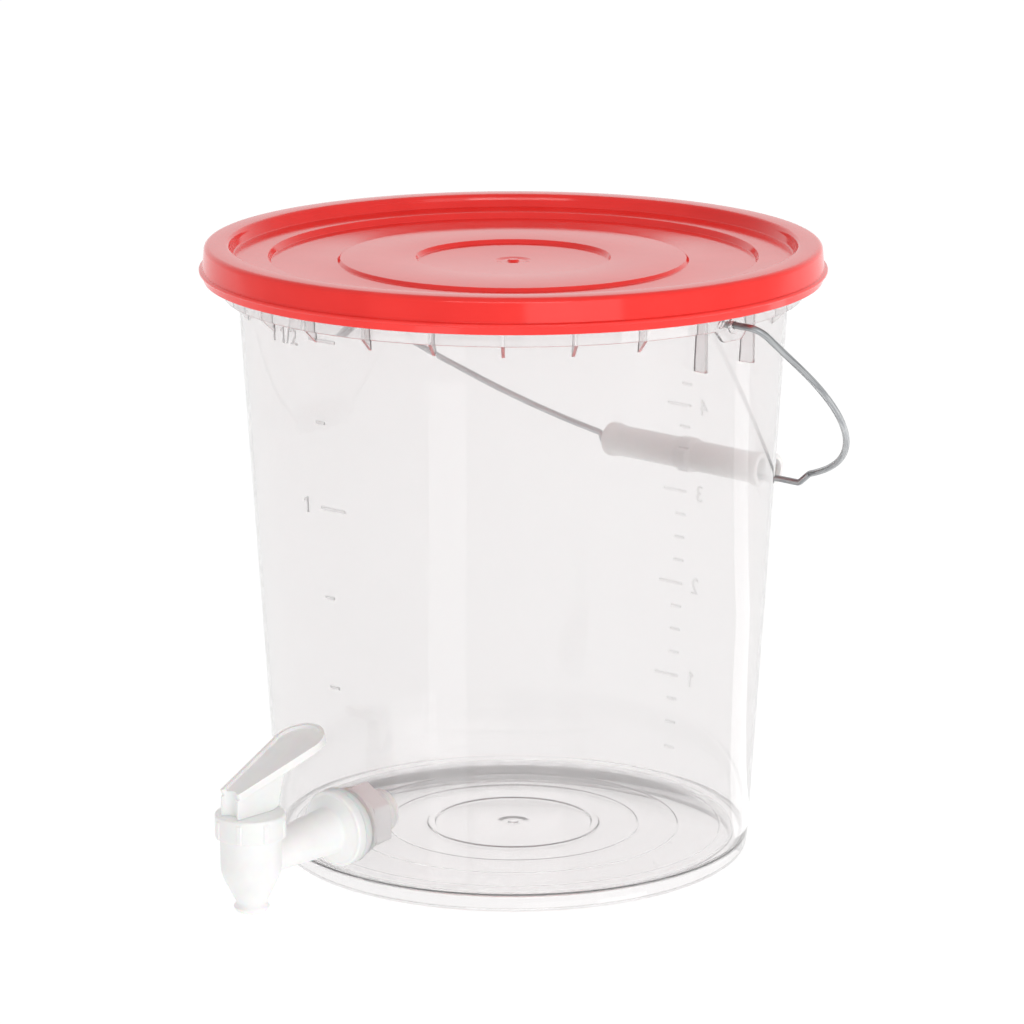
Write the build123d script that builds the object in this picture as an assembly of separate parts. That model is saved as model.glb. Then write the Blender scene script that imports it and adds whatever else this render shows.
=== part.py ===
from build123d import *
import math
import os

# A clear tapered bucket with a red press-on lid, a wire bail with a loose tube grip and a
# lever tap through the wall. Millimetres, +Z up, origin at the centre of the foot.
# The tap points along -Y, the ears are on the X axis and the bail hangs towards +Y.

# Bucket wall and base
foot_radius = 89.3
mouth_radius = 102.8
ledge_height = 221.0
wall = 1.4
foot_corner = 4.0
foot_width = 5.3
floor_rise = 6.0
floor_thickness = 1.5
floor_ring_radius = 31.3
floor_ring_width = 3.2
floor_ring_height = 0.7

# Bucket rim, collar, gussets and ears
collar_reach = 5.2
collar_wall = 1.3
collar_drop = 7.0
ledge_thickness = 1.5
rim_height = 10.0
snap_reach = 3.8
snap_rise = 5.2
snap_width = 4.4
gusset_count = 26
gusset_thickness = 1.2
gusset_drop = 4.9
ear_plate_thickness = 1.4
ear_plate_drop = 14.4
ear_drop = 4.4
ear_half_width = 9.0
ear_hole_drop = 5.6
ear_boss_radius = 3.1
ear_boss_height = 0.6
ear_clearance = 0.25

# Lid
lid_wall = 1.3
lid_seat_gap = 0.1
lid_clearance = 0.4
crown_thickness = 1.6
crown_round = 2.0
skirt_room = 1.1
skirt_flare = 0.8
skirt_depth = 13.0
bead_reach = 1.3
bead_height = 1.6
bead_rise = 2.7
plug_depth = 6.5
crown_step_width = 1.5
outer_panel_drop = 4.7
middle_panel_radius = 90.5
middle_panel_drop = 7.0
raised_ring_radius = 64.8
raised_ring_drop = 5.8
centre_panel_radius = 35.8
centre_panel_drop = 7.2
panel_step_width = 1.0

# Bail and grip
wire_radius = 1.25
bail_leg_gap = 2.05
bail_reach = 132.6
bail_shoulder = 96.0
bail_end_inset = 3.8
ear_bend_radius = 5.0
jog_depth = 4.1
jog_run = 3.5
jog_slope = 0.8
jog_bend_radius = 2.2
right_jog = 54.0
left_jog = 47.0
arch_share = 0.94
grip_length = 84.0
grip_offset = -2.7
grip_radius = 5.4
grip_wall = 1.1
grip_ring_radius = 6.9
grip_ring_width = 9.0
grip_end_width = 3.2
grip_shoulder = 2.2
grip_wire_gap = 0.15
grip_rest_gap = 0.3

# Tap shank, flange, washers and nut
tap_height = 26.8
thread_radius = 8.0
thread_length = 22.0
wall_hole_clearance = 0.3
passage_radius = 4.5
washer_thickness = 2.0
washer_radius = 14.4
washer_gap = 0.03
inner_washer_thickness = 2.6
inner_washer_radius = 13.2
flange_radius = 14.3
flange_thickness = 3.6
flange_dome_radius = 12.9
flange_dome_height = 2.2
shank_root_radius = 8.75
shank_end_radius = 6.6
nut_across_flats = 23.0
nut_thickness = 10.0
nut_collar_radius = 13.0
nut_collar_thickness = 1.8
nut_clearance = 0.06

# Tap barrel and bonnet
barrel_reach = 46.4
barrel_radius = 11.15
barrel_waist = -4.2
barrel_waist_radius = 11.0
barrel_waist_round = 14.0
shoulder_height = 9.4
neck_radius = 10.7
neck_height = 6.2
chamber_radius = 8.6
chamber_floor = -3.0
seat_radius = 3.6
seat_height = -10.5
nozzle_neck_radius = 5.5
nozzle_neck_height = -15.3
nozzle_lip_radius = 6.6
nozzle_lip_height = -17.0
nozzle_bottom = -18.6
nozzle_mouth_wall = 1.4
bonnet_radius = 12.85
bonnet_height = 8.8
bonnet_top = 1.8
bonnet_round = 0.8
bonnet_rib_count = 8
bonnet_rib_height = 0.4
bonnet_rib_angle = 9.5
bonnet_rib_start = 27.5
bonnet_rib_margin = 1.5
bonnet_clearance = 0.1

# Stem, seat cup and spring
running_clearance = 0.1
stem_radius = 2.6
stem_head_height = 2.2
trunnion_radius = 1.6
trunnion_length = 1.1
knob_radius = 3.6
knob_height = 4.0
knob_top = -2.1
stem_collar_radius = 6.4
stem_collar_thickness = 1.0
cup_radius = 5.0
cup_nose_radius = 3.9
skirt_gap = 0.8
cup_skirt_thickness = 2.0
spring_wire_radius = 0.4
spring_mean_radius = 4.6
spring_turns = 4
spring_seat_gap = 0.05

# Lever
pivot_height = 5.0
lever_foot_gap = 0.1
cam_radius = 6.0
lever_travel = 25.0
lever_front = 10.2
lever_front_rise = 4.7
lever_slope = 20.5
lever_length = 46.2
lever_front_width = 9.6
lever_tip_radius = 10.2
paddle_thickness = 3.4
paddle_round = 0.9
dish_depth = 1.2
dish_rim = 1.3
lever_foot_width = 9.0
lever_heel_radius = 2.5
lever_heel_lean = 14.0
groove_width = 7.4
groove_depth = 2.6
pocket_half_width = 2.9
pocket_front = 4.2
pocket_back = 5.9
pocket_rise = 3.0

# Worked out from the sizes above
taper = (mouth_radius - foot_radius) / ledge_height
wall_tilt = math.degrees(math.atan(taper))
wall_across = wall / math.cos(math.radians(wall_tilt))
foot_inner_radius = foot_radius - foot_width
ledge_underside = ledge_height - ledge_thickness
collar_radius = mouth_radius + collar_reach
collar_inner = collar_radius - collar_wall
snap_radius = collar_radius + snap_reach
collar_bottom = ledge_height - collar_drop
rim_top = ledge_height + rim_height
ear_height = ledge_height - ear_hole_drop
hook_inner = snap_radius + lid_clearance
skirt_radius = hook_inner + skirt_room + lid_wall
bead_radius = skirt_radius + skirt_flare + bead_reach
bail_half_width = bead_radius + bail_leg_gap + wire_radius
bonnet_face = shoulder_height + bonnet_height
pivot_level = bonnet_face + pivot_height


def wall_radius(height):
    """Outer radius of the tapered wall at a height above the foot."""
    return foot_radius + taper * height


def turned(points, radii):
    """Solid turned about Z from a closed outline of (radius, height) points and corner radii."""
    outline = FilletPolyline(*points, radius=radii, close=True)
    return revolve(Plane.XZ * make_face(outline), Axis.Z)


def plate(points, thickness):
    """Upright plate in the XZ plane, centred on it, from a closed outline."""
    outline = Plane.XZ * make_face(Polyline(*points, close=True))
    return extrude(outline, thickness / 2, both=True)


# The shank is square to the tapered wall, and the barrel stands upright on its end.
tap_place = Location((0, -wall_radius(tap_height), tap_height), (wall_tilt, 0, 0))
outward = Rotation(90, 0, 0)
barrel_place = Location((0, -barrel_reach, 0), (-wall_tilt, 0, 0))
pivot_place = barrel_place * Pos(0, 0, pivot_level)


def wall_solid(radius_offset):
    """Cone of the tapered wall, solid to the axis, its radius changed by an offset."""
    height = ledge_height + rim_height
    base = -floor_rise
    slant = [(0, base), (wall_radius(base) + radius_offset, base)]
    slant += [(wall_radius(height) + radius_offset, height), (0, height)]
    return revolve(Plane.XZ * make_face(Polyline(*slant, close=True)), Axis.Z)


def bucket_body():
    """Clear moulding: floor with foot ring, tapered wall, ledge, rim, collar, gussets and ears."""
    floor_top = floor_rise + floor_thickness
    snap_low = ledge_height + snap_rise - snap_width / 2
    snap_high = ledge_height + snap_rise + snap_width / 2
    snap_flat = snap_width / 6
    ring_in = floor_ring_radius - floor_ring_width / 2
    ring_out = floor_ring_radius + floor_ring_width / 2
    profile = [
        ((0, floor_rise), 0),
        ((foot_inner_radius, floor_rise), 0),
        ((foot_inner_radius, 0), 0),
        ((wall_radius(0), 0), foot_corner),
        ((wall_radius(ledge_underside), ledge_underside), 0),
        ((collar_inner, ledge_underside), 0),
        ((collar_inner, collar_bottom), 0),
        ((collar_radius, collar_bottom), 0),
        ((collar_radius, snap_low), 0),
        ((snap_radius, ledge_height + snap_rise - snap_flat), 0),
        ((snap_radius, ledge_height + snap_rise + snap_flat), 0),
        ((collar_radius, snap_high), 0),
        ((collar_radius, rim_top), 0),
        ((collar_inner, rim_top), 0),
        ((collar_inner, ledge_height), 0),
        ((wall_radius(ledge_height) - wall_across, ledge_height), 0),
        ((wall_radius(floor_top) - wall_across, floor_top), 0),
        ((ring_out, floor_top), 0),
        ((ring_out, floor_top + floor_ring_height), 0),
        ((ring_in, floor_top + floor_ring_height), 0),
        ((ring_in, floor_top), 0),
        ((0, floor_top), 0),
    ]
    body = turned([point for point, _ in profile], [radius for _, radius in profile])

    # Gussets between wall and collar, and the longer plates beside each ear
    root = wall_radius(collar_bottom) - wall / 2
    tip = collar_bottom - gusset_drop
    gusset_points = [(wall_radius(tip), tip), (collar_radius - collar_wall / 2, collar_bottom)]
    gusset_points += [(collar_radius - collar_wall / 2, ledge_underside + ledge_thickness / 2)]
    gusset_points += [(root, ledge_underside + ledge_thickness / 2), (root, tip)]
    gusset = plate(gusset_points, gusset_thickness)
    foot = collar_bottom - ear_plate_drop
    side_points = [(wall_radius(foot) - wall / 2, foot), (collar_radius - collar_wall / 2, foot)]
    side_points += [(collar_radius - collar_wall / 2, ledge_underside + ledge_thickness / 2)]
    side_points += [(wall_radius(ledge_height) - wall / 2, ledge_underside + ledge_thickness / 2)]
    side_plate = plate(side_points, ear_plate_thickness)
    step = 360 / gusset_count
    ribs = []
    for number in range(gusset_count):
        angle = (number + 0.5) * step
        beside_ear = abs(math.cos(math.radians(angle))) > math.cos(math.radians(step))
        rib = side_plate if beside_ear else gusset
        ribs.append(Rotation(0, 0, angle) * rib)
    body += ribs

    # Ears: the collar's own edge comes down in a rounded lobe, with a holed boss in it
    lobe_bottom = collar_bottom - ear_drop
    lobe_flat = ear_half_width - ear_drop * 0.8
    lobe = FilletPolyline(
        (-ear_half_width * 1.5, collar_bottom),
        (-ear_half_width, collar_bottom),
        (-lobe_flat, lobe_bottom),
        (lobe_flat, lobe_bottom),
        (ear_half_width, collar_bottom),
        (ear_half_width * 1.5, collar_bottom),
        (ear_half_width * 1.5, ledge_underside),
        (-ear_half_width * 1.5, ledge_underside),
        radius=[0, ear_drop * 0.8, ear_drop * 1.2, ear_drop * 1.2, ear_drop * 0.8, 0, 0, 0],
        close=True,
    )
    slab = extrude(Plane.YZ * make_face(lobe), collar_radius * 2, both=True)
    band_height = ledge_underside - lobe_bottom
    band = Pos(0, 0, lobe_bottom) * Cylinder(collar_radius, band_height, align=(Align.CENTER, Align.CENTER, Align.MIN))
    band -= Pos(0, 0, lobe_bottom) * Cylinder(collar_inner, band_height, align=(Align.CENTER, Align.CENTER, Align.MIN))
    body += slab & band
    boss_length = collar_wall + ear_boss_height
    for side in (-1, 1):
        middle = side * (collar_inner + boss_length / 2)
        body += Pos(middle, 0, ear_height) * Rotation(0, 90, 0) * Cylinder(ear_boss_radius, boss_length)
    for side in (-1, 1):
        middle = side * collar_radius
        drill = Cylinder(wire_radius + ear_clearance, collar_wall * 6)
        body -= Pos(middle, 0, ear_height) * Rotation(0, 90, 0) * drill

    # Hole for the tap's shank, square to the wall
    body -= tap_place * outward * Cylinder(thread_radius + wall_hole_clearance, wall * 8)
    return body


def lid():
    """Red moulding: stepped top, crown over the rim, sealing plug inside it and a skirt with a bead."""
    under = rim_top + lid_seat_gap
    top = under + crown_thickness
    bottom = top - skirt_depth
    bead_low = bottom + bead_rise
    bead_high = bead_low + bead_height
    skirt_low = skirt_radius + skirt_flare
    skirt_inner = skirt_radius - lid_wall
    plug_outer = collar_inner - lid_clearance
    plug_inner = plug_outer - lid_wall
    half = panel_step_width / 2
    crown_inner = plug_outer - crown_step_width / 2
    panels = [
        (middle_panel_radius, outer_panel_drop, middle_panel_drop),
        (raised_ring_radius, middle_panel_drop, raised_ring_drop),
        (centre_panel_radius, raised_ring_drop, centre_panel_drop),
    ]
    upper = [((crown_inner - crown_step_width, top - outer_panel_drop), 0)]
    lower = [((plug_inner, top - outer_panel_drop - lid_wall), 0)]
    for radius, outside_drop, inside_drop in panels:
        upper.append(((radius + half, top - outside_drop), 0))
        upper.append(((radius - half, top - inside_drop), 0))
        lower.append(((radius + half, top - outside_drop - lid_wall), 0))
        lower.append(((radius - half, top - inside_drop - lid_wall), 0))
    profile = [((0, top - centre_panel_drop - lid_wall), 0)]
    profile += lower[::-1]
    profile += [
        ((plug_inner, under - plug_depth), 0),
        ((plug_outer, under - plug_depth), 0),
        ((plug_outer, under), 0),
        ((skirt_inner, under), 0),
        ((skirt_inner + skirt_flare, bead_high), 0),
        ((hook_inner, bead_high - bead_height / 2), 0),
        ((hook_inner, bead_low - bead_height / 2), 0),
        ((skirt_inner + skirt_flare / 2, bottom), 0),
        ((skirt_radius + skirt_flare / 2, bottom), 0),
        ((skirt_low, bead_low), 0),
        ((bead_radius, bead_low + bead_height / 6), 0),
        ((bead_radius, bead_high - bead_height / 6), 0),
        ((skirt_low, bead_high), 0),
        ((skirt_radius, top), crown_round),
        ((crown_inner, top), 0),
    ]
    profile += upper
    profile += [((0, top - centre_panel_drop), 0)]
    return turned([point for point, _ in profile], [radius for _, radius in profile])


# The bail lies in a plane through the ears. s runs from the ears to the grip and w is out of
# that plane. The rest angle, from straight down, lets the grip's ring lean on the wall.
grip_bore = grip_radius - grip_wall
grip_sag = grip_bore - wire_radius - grip_wire_gap
grip_axis_w = grip_sag - jog_depth


def rest_angle():
    """Angle of the bail from straight down at which the grip's middle ring just clears the wall."""
    angle = math.radians(45)
    for _ in range(40):
        height = ear_height - bail_reach * math.cos(angle) + grip_axis_w * math.sin(angle)
        needed = wall_radius(height) + (grip_ring_radius + grip_rest_gap) / math.cos(math.atan(taper))
        angle = math.asin((needed - grip_axis_w * math.cos(angle)) / bail_reach)
    return angle


bail_angle = rest_angle()
print("bail hangs", round(math.degrees(bail_angle), 3), "degrees from straight down")


def bail_point(x, s, w):
    """Point of the bail's own frame (x, s, w) in the object's frame, with the bail at rest."""
    y = s * math.sin(bail_angle) + w * math.cos(bail_angle)
    z = ear_height - s * math.cos(bail_angle) + w * math.sin(bail_angle)
    return Vector(x, y, z)


def largest_bend(before, corner, after):
    """Radius of the largest bend that the shorter run at a corner leaves room for."""
    turn = (corner - before).get_angle(after - corner)
    run = min((corner - before).length, (after - corner).length)
    return arch_share * run / math.tan(math.radians(turn) / 2)


def bail_wire():
    """One galvanised wire: in through each ear, up the legs, round the arch and a jog beside the grip."""
    end = collar_inner - bail_end_inset + collar_wall
    foot_s = bail_reach - jog_slope
    right_foot = right_jog + jog_run
    left_foot = left_jog + jog_run
    route = [
        bail_point(end, 0, 0),
        bail_point(bail_half_width, 0, 0),
        bail_point(bail_half_width, bail_shoulder, 0),
        bail_point(right_foot, foot_s, 0),
        bail_point(right_jog, bail_reach, -jog_depth),
        bail_point(-left_jog, bail_reach, -jog_depth),
        bail_point(-left_foot, foot_s, 0),
        bail_point(-bail_half_width, bail_shoulder, 0),
        bail_point(-bail_half_width, 0, 0),
        bail_point(-end, 0, 0),
    ]
    bends = [
        ear_bend_radius,
        largest_bend(*route[1:4]),
        jog_bend_radius,
        jog_bend_radius,
        jog_bend_radius,
        jog_bend_radius,
        largest_bend(*route[6:9]),
        ear_bend_radius,
    ]
    path = FilletPolyline(*route, radius=bends)
    section = Plane(origin=path @ 0, z_dir=path % 0) * Circle(wire_radius)
    wire = sweep(section, path)
    print("bail wire length", round(path.length, 1), "volume ratio",
          round(wire.volume / (path.length * math.pi * wire_radius**2), 4))
    return wire


def bail_grip():
    """Loose hollow tube with a rolled collar at each end and a ring in the middle."""
    half = grip_length / 2
    ring = grip_ring_width / 2
    end = half - grip_end_width
    lip = (grip_bore + grip_radius) / 2
    upper_half = [
        ((grip_radius, ring + grip_shoulder), grip_shoulder),
        ((grip_radius, end - grip_shoulder), grip_shoulder),
        ((grip_ring_radius, end), grip_shoulder / 2),
        ((grip_ring_radius, half), grip_end_width / 3),
        ((lip, half), 0),
        ((grip_bore, half - grip_end_width / 2), 0),
    ]
    rise = [((grip_ring_radius, ring), grip_shoulder / 2)]
    outline = rise + upper_half
    outline += [((r, -z), radius) for (r, z), radius in reversed(outline)]
    tube = turned([point for point, _ in outline], [radius for _, radius in outline])
    place = bail_point(grip_offset, bail_reach, grip_axis_w)
    return Pos(place) * Rotation(0, 90, 0) * tube


def tap_body():
    """White moulding: threaded shank, flange, neck, barrel with valve seat and nozzle."""
    back = washer_thickness
    front = back + flange_thickness
    dome = front + flange_dome_height
    shank_profile = [
        ((0, -thread_length), 0),
        ((thread_radius, -thread_length), thread_radius / 10),
        ((thread_radius, back), 0),
        ((flange_radius, back), 0),
        ((flange_radius, front), (flange_radius - flange_dome_radius) * 0.7),
        ((flange_dome_radius, front), 0),
        ((shank_root_radius, dome), flange_dome_height / 2),
        ((shank_end_radius, barrel_reach), 0),
        ((0, barrel_reach), 0),
    ]
    shank = outward * turned([p for p, _ in shank_profile], [r for _, r in shank_profile])
    neck_top = shoulder_height + neck_height
    barrel_profile = [
        ((0, neck_top), 0),
        ((neck_radius, neck_top), neck_radius / 20),
        ((neck_radius, shoulder_height), 0),
        ((barrel_radius, shoulder_height), 0),
        ((barrel_waist_radius, barrel_waist), barrel_waist_round),
        ((nozzle_neck_radius, nozzle_neck_height), nozzle_neck_radius / 4),
        ((nozzle_lip_radius, nozzle_lip_height), nozzle_lip_radius / 12),
        ((seat_radius + nozzle_mouth_wall + nozzle_mouth_wall / 2, nozzle_bottom), 0),
        ((0, nozzle_bottom), 0),
    ]
    barrel = turned([p for p, _ in barrel_profile], [r for _, r in barrel_profile])
    hollow_profile = [
        (0, neck_top + 1),
        (chamber_radius, neck_top + 1),
        (chamber_radius, chamber_floor),
        (seat_radius, seat_height),
        (seat_radius, nozzle_neck_height),
        (seat_radius + nozzle_mouth_wall / 2, nozzle_bottom - 1),
        (0, nozzle_bottom - 1),
    ]
    hollow = turned(hollow_profile, [0] * len(hollow_profile))
    passage = outward * Pos(0, 0, -thread_length - 1) * Cylinder(
        passage_radius, barrel_reach + thread_length + 1, align=(Align.CENTER, Align.CENTER, Align.MIN))
    tap = shank + barrel_place * barrel
    tap -= barrel_place * hollow
    tap -= passage
    return tap_place * tap


def ring(inner, outer, low, high):
    """Flat ring about the shank's axis between two distances outward from the wall."""
    blank = Cylinder(outer, high - low, align=(Align.CENTER, Align.CENTER, Align.MIN))
    blank -= Cylinder(inner, high - low, align=(Align.CENTER, Align.CENTER, Align.MIN))
    return tap_place * outward * Pos(0, 0, low) * blank


def tap_outer_washer():
    """Soft ring between flange and wall, pressed to the wall's curve."""
    blank = ring(thread_radius + running_clearance, washer_radius, -washer_thickness, washer_thickness)
    return blank - wall_solid(washer_gap)


nut_face = wall + inner_washer_thickness


def tap_inner_washer():
    """Soft ring between the inside of the wall and the nut, pressed to the wall's curve."""
    blank = ring(thread_radius + running_clearance, inner_washer_radius, -nut_face, 0)
    return blank & wall_solid(-wall_across - washer_gap)


def tap_nut():
    """Hexagon nut with a round collar, screwed on the shank inside the bucket."""
    hexagon = RegularPolygon(nut_across_flats / 2, 6, major_radius=False)
    nut = extrude(hexagon, nut_thickness)
    nut += Cylinder(nut_collar_radius, nut_collar_thickness, align=(Align.CENTER, Align.CENTER, Align.MIN))
    nut -= Cylinder(thread_radius + nut_clearance, nut_thickness * 3)
    return tap_place * outward * Pos(0, 0, -nut_face) * Rotation(180, 0, 0) * nut


def tap_bonnet():
    """White cap screwed on the barrel's neck, with low grip ribs and a hole for the stem."""
    bottom = shoulder_height
    roof = bonnet_face - bonnet_top
    bore = neck_radius + bonnet_clearance
    hole = stem_radius + running_clearance
    profile = [
        ((bore, bottom), 0),
        ((bonnet_radius, bottom), bonnet_round / 2),
        ((bonnet_radius, bonnet_face), bonnet_round),
        ((hole, bonnet_face), 0),
        ((hole, roof), 0),
        ((bore, roof), 0),
    ]
    cap = turned([point for point, _ in profile], [radius for _, radius in profile])
    rib_low = bottom + bonnet_round / 2
    rib_length = bonnet_face - bonnet_rib_margin - rib_low
    blank = Pos(bonnet_radius, rib_low + rib_length / 2) * Rectangle(2 * bonnet_rib_height, rib_length)
    rib = revolve(Plane.XZ * blank, Axis.Z, bonnet_rib_angle)
    for number in range(bonnet_rib_count):
        middle = bonnet_rib_start + number * 360 / bonnet_rib_count
        cap += Rotation(0, 0, middle - bonnet_rib_angle / 2) * rib
    return tap_place * barrel_place * cap


skirt_bottom = passage_radius + skirt_gap
skirt_top = skirt_bottom + cup_skirt_thickness
collar_low = skirt_top + running_clearance
collar_high = collar_low + stem_collar_thickness


def tap_stem():
    """White rod with a trunnion head in the lever, a collar under the spring and a knob in the seat cup."""
    knob_bottom = knob_top - knob_height
    head_top = pivot_level + stem_head_height
    profile = [
        ((0, knob_bottom), 0),
        ((knob_radius, knob_bottom), knob_radius / 5),
        ((knob_radius, knob_top), 0),
        ((stem_radius, knob_top), 0),
        ((stem_radius, collar_low), 0),
        ((stem_collar_radius, collar_low), 0),
        ((stem_collar_radius, collar_high), 0),
        ((stem_radius, collar_high), 0),
        ((stem_radius, head_top), stem_radius / 3),
        ((0, head_top), 0),
    ]
    rod = turned([point for point, _ in profile], [radius for _, radius in profile])
    reach = pocket_half_width + trunnion_length
    trunnions = Pos(0, 0, pivot_level) * Rotation(0, 90, 0) * Cylinder(trunnion_radius, 2 * reach)
    return tap_place * barrel_place * (rod + trunnions)


def valve_seat_cup():
    """Silicone plug with a wiping skirt, snapped over the stem's knob and closing the seat."""
    cone_slope = (chamber_radius - seat_radius) / (chamber_floor - seat_height)
    lift = running_clearance * math.sqrt(1 + cone_slope**2) / cone_slope

    def seat_level(radius):
        """Height at which a radius of the plug rests just clear of the seat's cone."""
        return seat_height + (radius - seat_radius) / cone_slope + lift

    knob_room = knob_top - knob_height - running_clearance
    neck = stem_radius + running_clearance
    pocket = knob_radius + running_clearance
    profile = [
        ((0, seat_level(cup_nose_radius)), 0),
        ((cup_nose_radius, seat_level(cup_nose_radius)), 0),
        ((cup_radius, seat_level(cup_radius)), 0),
        ((cup_radius, skirt_bottom), 0),
        ((chamber_radius - running_clearance, skirt_bottom), 0),
        ((chamber_radius - running_clearance, skirt_top), 0),
        ((neck, skirt_top), 0),
        ((neck, knob_top + running_clearance), 0),
        ((pocket, knob_top + running_clearance), 0),
        ((pocket, knob_room), 0),
        ((0, knob_room), 0),
    ]
    cup = turned([point for point, _ in profile], [radius for _, radius in profile])
    return tap_place * barrel_place * cup


def stem_spring():
    """Coil spring between the stem's collar and the bonnet's roof, swept on pairs of tangent arcs."""
    low = collar_high + spring_seat_gap + spring_wire_radius
    high = bonnet_face - bonnet_top - spring_seat_gap - spring_wire_radius
    rise = (high - low) / spring_turns
    climb = rise / (2 * math.pi)

    def on_helix(turn):
        """Point and unit tangent of the helix at a number of turns."""
        angle = 2 * math.pi * turn
        cosine = math.cos(angle)
        sine = math.sin(angle)
        point = Vector(spring_mean_radius * cosine, spring_mean_radius * sine, low + rise * turn)
        tangent = Vector(-spring_mean_radius * sine, spring_mean_radius * cosine, climb).normalized()
        return point, tangent

    arcs = []
    for number in range(spring_turns * 2):
        start, start_tangent = on_helix(number / 2)
        end, end_tangent = on_helix((number + 1) / 2)
        chord = end - start
        total = start_tangent + end_tangent
        spread = 2 * (1 - start_tangent.dot(end_tangent))
        along = chord.dot(total)
        reach = (math.sqrt(along**2 + spread * chord.dot(chord)) - along) / spread
        middle = (start + start_tangent * reach + end - end_tangent * reach) * 0.5
        first_arc = TangentArc(start, middle, tangent=start_tangent)
        arcs.append(first_arc)
        arcs.append(TangentArc(middle, end, tangent=first_arc % 1))
    path = Wire(arcs)
    print("spring's least gap between turns", round(rise - 2 * spring_wire_radius, 3))
    section = Plane(origin=path @ 0, z_dir=path % 0) * Circle(spring_wire_radius)
    return tap_place * barrel_place * sweep(section, path)


def tap_lever():
    """White paddle lever: two cheeks with a rolling heel on the bonnet and a dished paddle."""
    sole = lever_foot_gap - pivot_height
    slope = math.radians(lever_slope)
    travel = math.radians(lever_travel)

    # The heel is the involute of a circle about the pivot, so the pivot rises by the cam
    # radius times the angle. Points are (forward, up) from the pivot.
    def heel(angle):
        """Point of the heel that touches the bonnet when the lever has turned by an angle."""
        support = -sole + cam_radius * angle
        forward = -support * math.sin(angle) - cam_radius * math.cos(angle)
        up = -support * math.cos(angle) + cam_radius * math.sin(angle)
        return (forward, up)

    heel_end = heel(travel)
    turn_end = math.radians(90 - lever_heel_lean)
    back_forward = heel_end[0] + lever_heel_radius * (math.sin(travel) - math.sin(turn_end))
    back_up = heel_end[1] + lever_heel_radius * (math.cos(travel) - math.cos(turn_end))
    block_drop = (dish_depth + paddle_thickness) / 2 / math.cos(slope)

    def block_top(forward):
        """Height of the block's top, inside the paddle, at a distance forward of the pivot."""
        return lever_front_rise - block_drop + (lever_front - forward) * math.tan(slope)

    lean = math.tan(math.radians(lever_heel_lean))
    top_rise = (block_top(back_forward) - back_up) / (1 - lean * math.tan(slope))
    back_top = (back_forward - lean * top_rise, back_up + top_rise)
    heel_points = [heel(travel * number / 4) for number in range(5)]
    heel_tangents = [(-1, 0), (-math.cos(travel), math.sin(travel))]
    outline = [
        Line((lever_front, sole), (-cam_radius, sole)),
        Spline(*heel_points, tangents=heel_tangents),
        TangentArc(heel_end, (back_forward, back_up), tangent=heel_tangents[1]),
        Polyline((back_forward, back_up), back_top, (lever_front, block_top(lever_front)), (lever_front, sole)),
    ]
    side_view = Plane((0, 0, 0), x_dir=(0, -1, 0), z_dir=(-1, 0, 0))
    block = extrude(side_view * make_face(outline), lever_foot_width / 2, both=True)

    # Paddle: widens in straight sides to a round tip, with a dish inside a raised rim
    tip_centre = lever_length - lever_tip_radius
    half_front = lever_front_width / 2
    reach = math.hypot(tip_centre, half_front)
    side_angle = math.asin(lever_tip_radius / reach) - math.atan2(half_front, tip_centre)
    touch = tip_centre - lever_tip_radius * math.sin(side_angle)
    touch_width = lever_tip_radius * math.cos(side_angle)
    plan = make_face([
        Line((touch, -touch_width), (0, -half_front)),
        Line((0, -half_front), (0, half_front)),
        Line((0, half_front), (touch, touch_width)),
        ThreePointArc((touch, touch_width), (lever_length, 0), (touch, -touch_width)),
    ])
    paddle_top = Plane(
        (0, -lever_front, lever_front_rise),
        x_dir=(0, math.cos(slope), math.sin(slope)),
        z_dir=(0, -math.sin(slope), math.cos(slope)),
    )
    paddle = extrude(paddle_top * plan, -paddle_thickness)
    lower_edges = paddle.faces().sort_by(Axis(paddle_top.origin, paddle_top.z_dir))[0].edges()
    paddle = fillet(lower_edges.filter_by(lambda e: e.center().Y > -lever_front + 0.1), paddle_round)
    lever = block + paddle
    lever -= extrude(paddle_top * offset(plan, -dish_rim), -dish_depth)

    # Hollow down the front, pocket for the stem's head and blind sockets for its trunnions
    tall = 4 * lever_front_rise
    groove_radius = (groove_width**2 / 4 + groove_depth**2) / (2 * groove_depth)
    lever -= Pos(0, groove_depth - groove_radius - lever_front, 0) * Cylinder(groove_radius, tall)
    pocket = Box(2 * pocket_half_width, pocket_front + pocket_back, pocket_rise - sole,
                 align=(Align.CENTER, Align.MIN, Align.MIN))
    lever -= Pos(0, -pocket_front, sole) * pocket
    socket_reach = pocket_half_width + trunnion_length + running_clearance
    lever -= Rotation(0, 90, 0) * Cylinder(trunnion_radius + running_clearance, 2 * socket_reach)
    return tap_place * pivot_place * lever


pieces = {
    "bucket_body": bucket_body(),
    "lid": lid(),
    "bail_wire": bail_wire(),
    "bail_grip": bail_grip(),
    "tap_body": tap_body(),
    "tap_outer_washer": tap_outer_washer(),
    "tap_inner_washer": tap_inner_washer(),
    "tap_nut": tap_nut(),
    "tap_bonnet": tap_bonnet(),
    "tap_stem": tap_stem(),
    "valve_seat_cup": valve_seat_cup(),
    "stem_spring": stem_spring(),
    "tap_lever": tap_lever(),
}

os.makedirs("parts", exist_ok=True)
for name, piece in pieces.items():
    export_step(piece, f"parts/{name}.step")
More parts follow.
